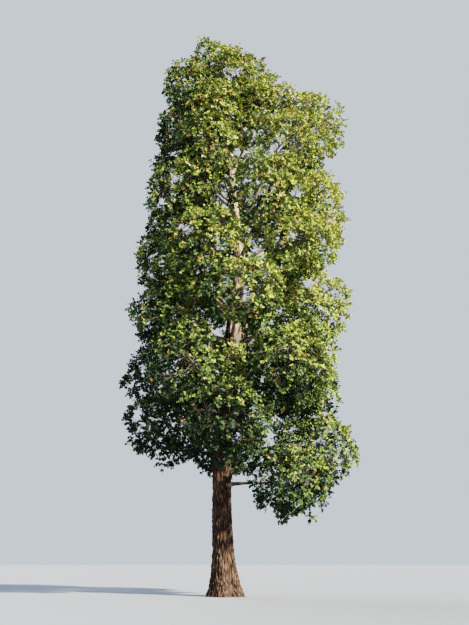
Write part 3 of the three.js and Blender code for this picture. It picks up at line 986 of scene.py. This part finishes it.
def straight_rod(name, sides, rings):
    """A closed rod of radius 1, from 0 to 1 along +Z: a grid rolled up, with its seam joined, then filled."""
    bpy.ops.mesh.primitive_grid_add(x_subdivisions=sides, y_subdivisions=rings, size=1)
    rod = bpy.context.object
    rod.name = name
    flat = vertices_of(rod) + 0.5
    turn = flat[:, 0] * 2 * math.pi
    set_vertices(rod, np.column_stack([np.cos(turn), np.sin(turn), flat[:, 1]]))
    bpy.ops.object.mode_set(mode="EDIT")
    bpy.ops.mesh.select_all(action="SELECT")
    bpy.ops.mesh.remove_doubles(threshold=SEAM_WIDTH)
    bpy.ops.mesh.fill_holes(sides=0)
    bpy.ops.mesh.select_all(action="SELECT")
    bpy.ops.mesh.normals_make_consistent(inside=False)
    bpy.ops.object.mode_set(mode="OBJECT")
    return rod


def mark_place(piece, places):
    """Keeps where each point is on the straight rod, so that the bark's pattern follows the wood's bend."""
    place = piece.data.attributes.new("grown_place", "FLOAT_VECTOR", "POINT")
    place.data.foreach_set("vector", places.astype(np.float32).ravel())


def carve_bark(piece, size, depth, strength):
    """Presses furrows, long in the way the wood grows, into a straight rod. strength is for each vertex."""
    rough = piece.vertex_groups.new(name="rough_bark")
    level = np.round(strength * RELIEF_LEVELS).astype(int)
    for number in range(1, RELIEF_LEVELS + 1):
        rough.add(np.flatnonzero(level == number).tolist(), number / RELIEF_LEVELS, "REPLACE")
    measure = bpy.data.objects.new("bark_measure", None)
    bpy.context.scene.collection.objects.link(measure)
    measure.scale = size
    bpy.context.view_layer.update()
    furrows = bpy.data.textures.new("furrows", "MUSGRAVE")
    furrows.musgrave_type = "RIDGED_MULTIFRACTAL"
    furrows.noise_scale = 1.0
    furrows.octaves = RELIEF_OCTAVES
    relief = piece.modifiers.new("relief", "DISPLACE")
    relief.texture = furrows
    relief.texture_coords = "OBJECT"
    relief.texture_coords_object = measure
    relief.strength = depth
    relief.mid_level = RELIEF_MIDDLE
    relief.vertex_group = rough.name
    apply_modifiers(piece)
    bpy.data.objects.remove(measure)


def apply_modifiers(piece):
    bpy.context.view_layer.objects.active = piece
    piece.select_set(True)
    for modifier in list(piece.modifiers):
        bpy.ops.object.modifier_apply(modifier=modifier.name)


def make_trunk(bark):
    """The trunk is carved straight, moved over to its line, and cut off level at the ground."""
    trunk = straight_rod("trunk_wood", TRUNK_SIDES, TRUNK_RINGS)
    places = vertices_of(trunk)
    heights = TRUNK_START + (TRUNK_TOP - TRUNK_START) * places[:, 2] ** RING_CROWDING
    angles = np.arctan2(places[:, 1], places[:, 0])
    radii = trunk_radius(np.maximum(heights, 0), angles) * np.hypot(places[:, 0], places[:, 1])
    straight = np.column_stack([radii * np.cos(angles), radii * np.sin(angles), heights])
    set_vertices(trunk, straight)
    mark_place(trunk, straight)
    rough = np.interp(heights, ROUGH_HEIGHTS, ROUGH_SHARES)
    carve_bark(trunk, TRUNK_RELIEF_SIZE, TRUNK_RELIEF_DEPTH, rough)
    places = vertices_of(trunk)
    places[:, :2] += trunk_middle(np.maximum(places[:, 2], 0))[:, :2]
    set_vertices(trunk, places)
    bpy.ops.object.mode_set(mode="EDIT")
    bpy.ops.mesh.select_all(action="SELECT")
    bpy.ops.mesh.bisect(plane_co=(0, 0, 0), plane_no=(0, 0, 1), use_fill=True, clear_inner=True)
    bpy.ops.object.mode_set(mode="OBJECT")
    trunk.data.materials.append(bark)
    return trunk


def make_limb(mass):
    """The limb that carries a mass, carved straight and then bent. A side limb has a collar at the trunk."""
    line = mass.limb(np.linspace(0, 1, LIMB_POINTS))
    length = float(np.linalg.norm(np.diff(line, axis=0), axis=1).sum())
    limb = straight_rod("limb", LIMB_SIDES, LIMB_RINGS)
    places = vertices_of(limb)[:, [2, 0, 1]] * [length, 1, 1]
    share = np.clip(places[:, 0] / length, 0, 1)
    radius = mass.foot_radius + (LIMB_TIP - mass.foot_radius) * share**LIMB_TAPER
    if mass.rise:
        inside = float(trunk_radius(line[0, 2], 0.0))
        radius = radius * (1 + COLLAR * np.exp(-np.maximum(places[:, 0] - inside, 0) / COLLAR_FADE))
    places[:, 1] *= radius
    places[:, 2] *= radius
    set_vertices(limb, places)
    mark_place(limb, places[:, [1, 2, 0]] + [0, 0, PATTERN_STEP * mass.number])
    carve_bark(limb, LIMB_RELIEF_SIZE, LIMB_RELIEF_DEPTH, np.interp(share, (0, 1), LIMB_ROUGH_SHARES))
    bend_along(limb, line)
    return limb


def bend_along(limb, line):
    """Bends a limb, made straight along +X, so that it follows a line."""
    curve = bpy.data.curves.new("limb_line", "CURVE")
    curve.dimensions = "3D"
    spline = curve.splines.new("POLY")
    spline.points.add(len(line) - 1)
    spline.points.foreach_set("co", np.column_stack([line, np.ones(len(line))]).ravel())
    curve.use_stretch = True
    curve.use_deform_bounds = True
    rail = bpy.data.objects.new("limb_line", curve)
    bpy.context.scene.collection.objects.link(rail)
    bow = limb.modifiers.new("bow", "CURVE")
    bow.object = rail
    apply_modifiers(limb)
    bpy.data.objects.remove(rail)


def join(pieces, name, material):
    bpy.ops.object.select_all(action="DESELECT")
    for piece in pieces:
        piece.select_set(True)
    bpy.context.view_layer.objects.active = pieces[0]
    bpy.ops.object.join()
    piece = bpy.context.object
    piece.name = name
    piece.data.materials.clear()
    piece.data.materials.append(material)
    return piece


def make_crown(masses, bark):
    """Branches, shoots, twigs and leaves of every mass, as one piece of each kind of wood and leaf colour."""
    branches = Wood(BRANCH_RINGS, BRANCH_SIDES, BRANCH_RADII)
    shoots = Wood(SHOOT_RINGS, SHOOT_SIDES, SHOOT_RADII)
    twigs = []
    leaves = [[] for _ in LEAF_COLOURS]
    for mass in masses:
        rng = np.random.default_rng(mass.number)
        points, ways = grow_branches(mass, branches)
        tufts, facings = place_tufts(mass, rng)
        grow_shoots(tufts, points, ways, shoots)
        foot, heading, length = grow_sprays(tufts, facings, rng)
        tips = foot + heading * length[:, None]
        facing = np.repeat(facings, TUFT_SPRAYS, axis=0)
        colours = deal_colours(mass, tufts, rng)
        inside = keeps_in_box(tips)
        corners = grow_leaves(foot[inside], heading[inside], length[inside], facing[inside], rng)
        for number, group in enumerate(leaves):
            group.append(corners[colours[inside] == number].reshape(-1, len(LEAF_CORNERS), 3))
        twigs.append(np.stack([foot[inside], tips[inside]], axis=1))
    pieces = [branches.piece("branches", bark), shoots.piece("shoots", bark)]
    pieces.append(twigs_piece("twigs", np.concatenate(twigs), bark))
    for (name, colour), group in zip(LEAF_COLOURS.items(), leaves):
        pieces.append(leaves_piece("leaves_" + name, np.concatenate(group), leaf_material(name, colour)))
    return pieces


def leaves_piece(name, corners, material):
    faces = repeated(LEAF_FACES, len(corners), len(LEAF_CORNERS))
    return mesh_piece(name, corners.reshape(-1, 3), faces, material)


def twigs_piece(name, lines, material):
    """Three-sided twigs, each from a foot to a point."""
    way = unit(lines[:, 1] - lines[:, 0])
    side = unit(np.cross(way, UP))
    across = np.cross(way, side)
    angles = np.arange(TWIG_SIDES) * 2 * math.pi / TWIG_SIDES
    base = [lines[:, 0] + TWIG_RADIUS * (side * math.cos(a) + across * math.sin(a)) for a in angles]
    corners = np.stack([*base, lines[:, 1]], axis=1)
    faces = repeated(TWIG_FACES, len(lines), corners.shape[1])
    return mesh_piece(name, corners.reshape(-1, 3), faces, material)


def make_floor():
    bpy.ops.mesh.primitive_plane_add(size=FLOOR_SIZE, location=(0, 0, -FLOOR_DROP))
    floor = bpy.context.object
    floor.name = "floor"
    floor.data.materials.append(plain_material("pale_floor", FLOOR_COLOUR, FLOOR_ROUGHNESS))


def make_sky():
    """A blue fill from all round, and a paler backdrop that only the camera sees."""
    world = bpy.data.worlds.new("studio")
    bpy.context.scene.world = world
    world.use_nodes = True
    tree = world.node_tree
    fill = tree.nodes["Background"]
    fill.inputs["Color"].default_value = SKY_FILL
    fill.inputs["Strength"].default_value = SKY_FILL_STRENGTH
    backdrop = tree.nodes.new("ShaderNodeBackground")
    backdrop.inputs["Color"].default_value = BACKDROP
    backdrop.inputs["Strength"].default_value = BACKDROP_STRENGTH
    ray = tree.nodes.new("ShaderNodeLightPath")
    either_one = tree.nodes.new("ShaderNodeMixShader")
    tree.links.new(ray.outputs["Is Camera Ray"], either_one.inputs["Fac"])
    tree.links.new(fill.outputs[0], either_one.inputs[1])
    tree.links.new(backdrop.outputs[0], either_one.inputs[2])
    tree.links.new(either_one.outputs[0], tree.nodes["World Output"].inputs["Surface"])


def hang_light(name, way, energy, spread, colour):
    """A far light that shines from the given way, as soft as its spread in degrees."""
    light = bpy.data.lights.new(name, "SUN")
    light.energy = energy
    light.angle = math.radians(spread)
    light.color = colour
    lamp = bpy.data.objects.new(name, light)
    lamp.rotation_euler = way.to_track_quat("Z", "Y").to_euler()
    bpy.context.scene.collection.objects.link(lamp)


def set_tone():
    """A print-like tone, so that sunny leaves look bright and shade stays deep."""
    view = bpy.context.scene.view_settings
    view.view_transform = "Filmic"
    view.look = "High Contrast"


def make_camera():
    lens = bpy.data.cameras.new("camera")
    lens.lens = LENS
    lens.sensor_width = LENS_FILM
    lens.clip_end = FAR_LIMIT
    camera = bpy.data.objects.new("camera", lens)
    camera.location = EYE
    camera.rotation_euler = (math.radians(90 + LOOK_UP), 0, 0)
    bpy.context.scene.collection.objects.link(camera)
    bpy.context.scene.camera = camera


make_camera()
make_floor()
make_sky()
hang_light("key_light", SUNWARD, SUN_ENERGY, SUN_SPREAD, SUN_COLOUR)
hang_light("rim_light", RIMWARD, RIM_ENERGY, RIM_SPREAD, RIM_COLOUR)
set_tone()
furrows = furrows_group()
flakes = flakes_group()
trunk_bark = bark_material(
    "trunk_bark", furrows, flakes, young_from=12.5, young_to=18, across=0.1, along=0.6, flake_size=0.3
)
limb_bark = bark_material(
    "limb_bark", furrows, flakes, young_from=4, young_to=14, across=0.07, along=0.4, flake_size=0.2
)
twig_bark = twig_material()
masses = plan_masses()
trunk = make_trunk(trunk_bark)
boughs = join([make_limb(mass) for mass in masses], "boughs", limb_bark)
crown = make_crown(masses, twig_bark)

foliage_nodes = sorted(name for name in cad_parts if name.startswith("foliage"))
bough_nodes = sorted(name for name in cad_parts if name.startswith("bough"))
for piece in [trunk, boughs, *crown]:
    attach(piece, "root")
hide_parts("trunk")
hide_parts(*bough_nodes)
for piece in crown:
    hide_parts(*foliage_nodes)
